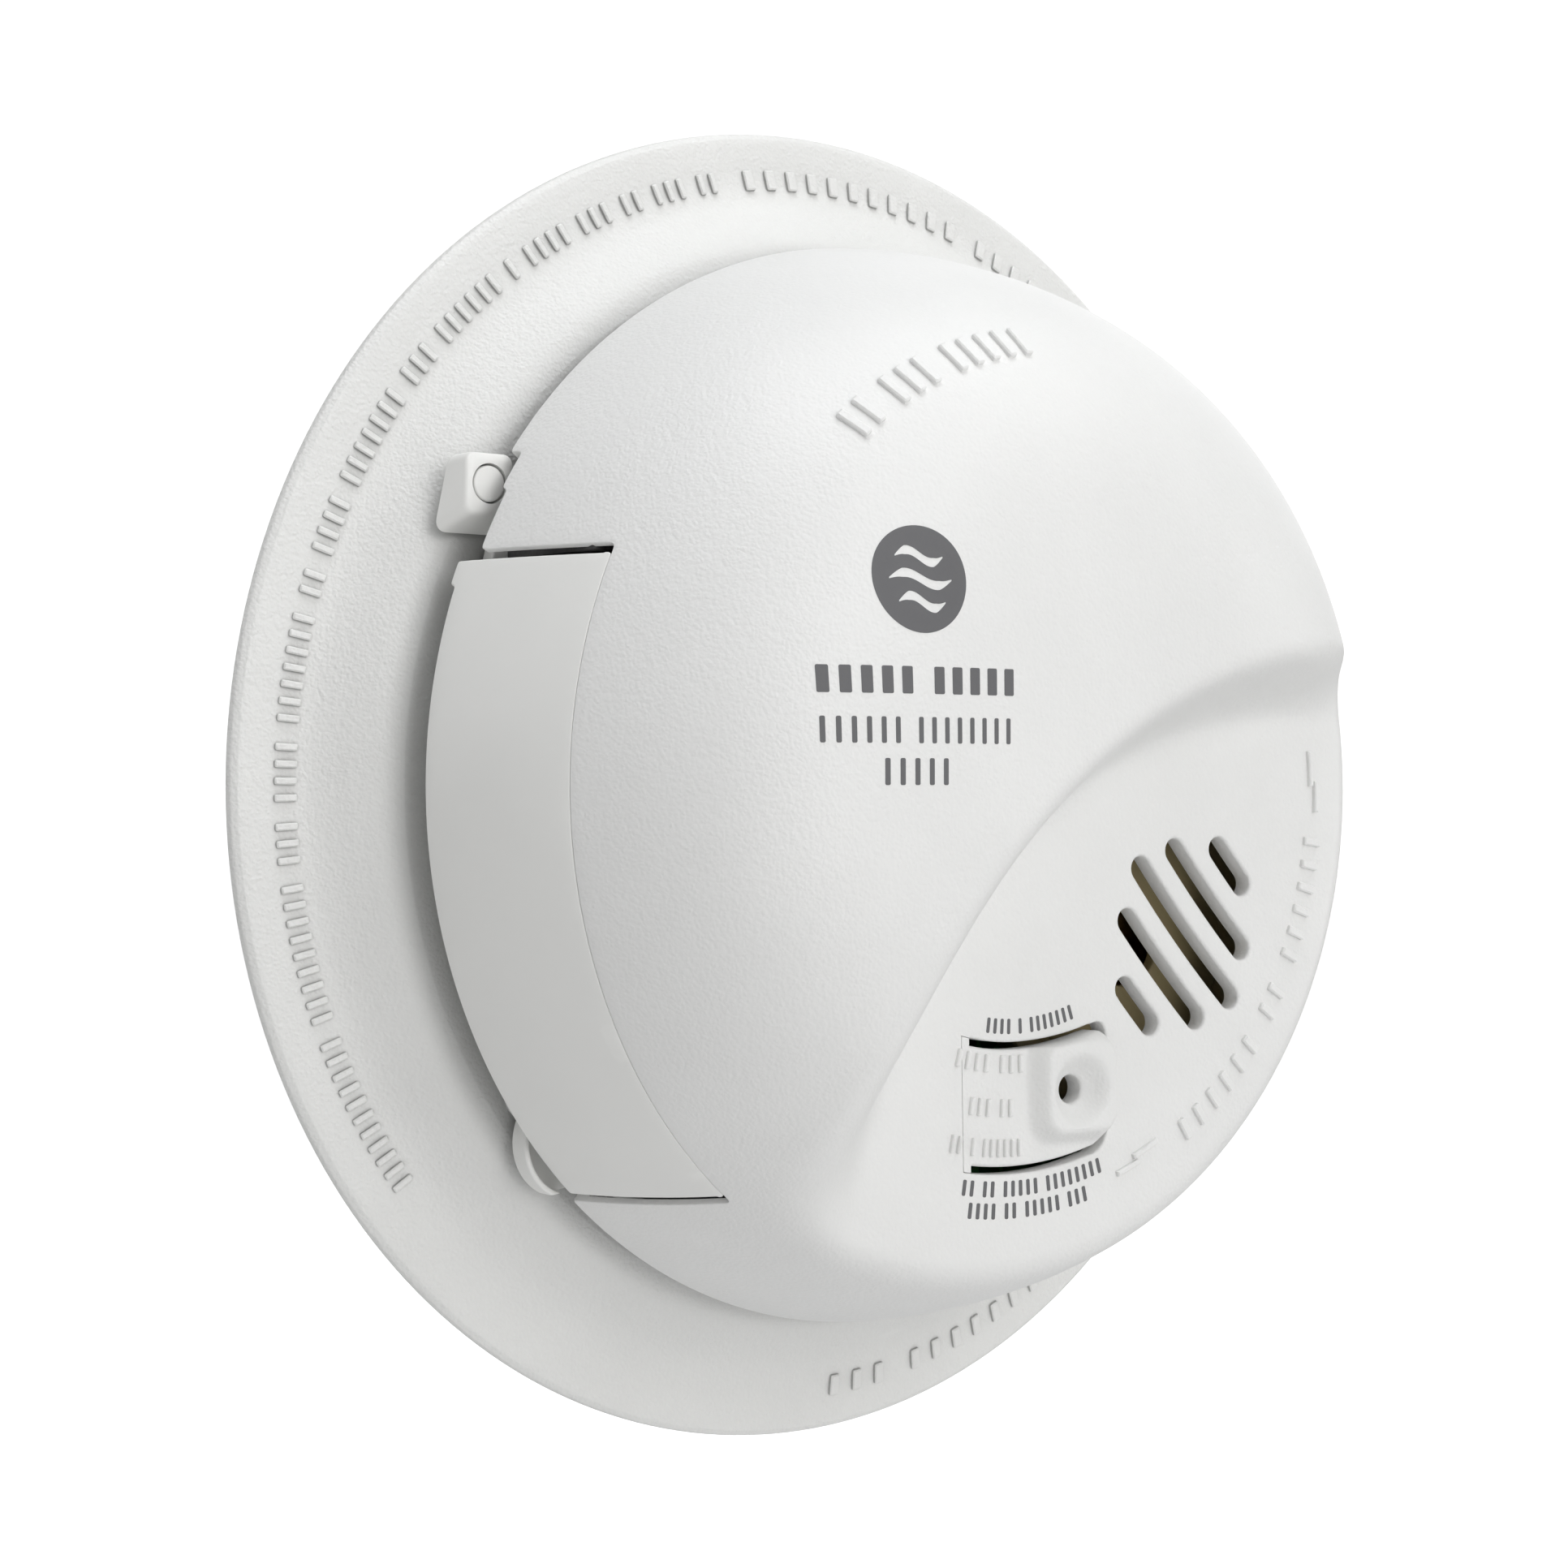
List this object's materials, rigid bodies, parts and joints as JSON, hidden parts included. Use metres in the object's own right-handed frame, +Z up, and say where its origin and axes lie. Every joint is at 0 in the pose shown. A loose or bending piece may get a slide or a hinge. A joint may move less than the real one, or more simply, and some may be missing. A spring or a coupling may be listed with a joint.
{
  "type": "carbon monoxide alarm",
  "caption": "Round wall-mounted carbon monoxide alarm with a domed cover, a swing-out battery drawer, sensor vents, a test button and a twist-lock bracket.",
  "frame": {"origin": "on the alarm's axis in the wall plane, at the back face of the mounting bracket", "axes": "-Y out of the wall along the alarm's axis, +Z up as hung, +X to the right seen from the front"},
  "size_m": [0.142, 0.0491, 0.142],
  "materials": {
    "cover_plastic": "fine moulded grain, satin",
    "base_plastic": "fine moulded grain, satin",
    "smooth_plastic": "smooth satin",
    "bracket_plastic": "moulded satin",
    "black_plastic": "moulded satin",
    "horn_plastic": "moulded satin",
    "circuit_board": "solder mask",
    "battery_jacket": "printed foil",
    "film_capacitor": "moulded box",
    "capacitor_sleeve": "shrink sleeve",
    "varistor_coating": "dipped epoxy",
    "led_lens": "tinted lens",
    "clear_plastic": "polished",
    "brass": "rolled",
    "plated_metal": "nickel plated",
    "steel": "zinc plated",
    "label": "blank foil label"
  },
  "bodies": {
    "bracket": {"mounting_bracket": "bracket_plastic", "locking_pin_1": "bracket_plastic", "locking_pin_2": "bracket_plastic"},
    "alarm": {"base_housing": "base_plastic", "drawer_hinge_pin": "smooth_plastic", "rating_label": "label", "front_cover": "cover_plastic", "contact_block": "black_plastic", "battery_contact_negative": "plated_metal", "battery_contact_positive": "plated_metal", "circuit_board": "circuit_board", "board_screw_1": "steel", "board_screw_2": "steel", "board_screw_3": "steel", "horn_housing": "horn_plastic", "piezo_disc": "brass", "co_sensor_cell": "plated_metal", "co_sensor_cap": "black_plastic", "microcontroller": "black_plastic", "film_capacitor": "film_capacitor", "electrolytic_capacitor": "capacitor_sleeve", "varistor": "varistor_coating", "alarm_led": "led_lens", "light_pipe": "clear_plastic", "switch_body": "black_plastic", "inlet_socket": "black_plastic", "inlet_pin_1": "brass", "inlet_pin_2": "brass", "inlet_pin_3": "brass"},
    "drawer": {"battery_drawer": "smooth_plastic", "battery_case": "battery_jacket", "battery_cap": "black_plastic", "battery_terminal_negative": "plated_metal", "battery_terminal_positive": "plated_metal"},
    "button": {"test_button": "cover_plastic"},
    "plunger": {"switch_plunger": "steel"}
  },
  "joints": [
    {"name": "twist_lock", "type": "hinge", "parent": "bracket", "child": "alarm", "pos_m": [0, 0, 0], "axis": [0, -1, 0], "range_deg": [0, 20]},
    {"name": "drawer_swing", "type": "hinge", "parent": "alarm", "child": "drawer", "pos_m": [-0.049, -0.011, 0.0289], "axis": [0, 1, 0], "range_deg": [0, 60]},
    {"name": "button_press", "type": "hinge", "parent": "alarm", "child": "button", "pos_m": [-0.0072, -0.0345, -0.0315], "axis": [0, 0, 1], "range_deg": [0, 4], "stiffness_Nm_per_rad": 0.8},
    {"name": "plunger_travel", "type": "slide", "parent": "alarm", "child": "plunger", "axis": [0, 1, 0], "range_m": [0, 0.0006]}
  ],
  "couplings": [
    {"joint": "plunger_travel", "follows": "button_press", "m_per_rad": 0.0072}
  ]
}
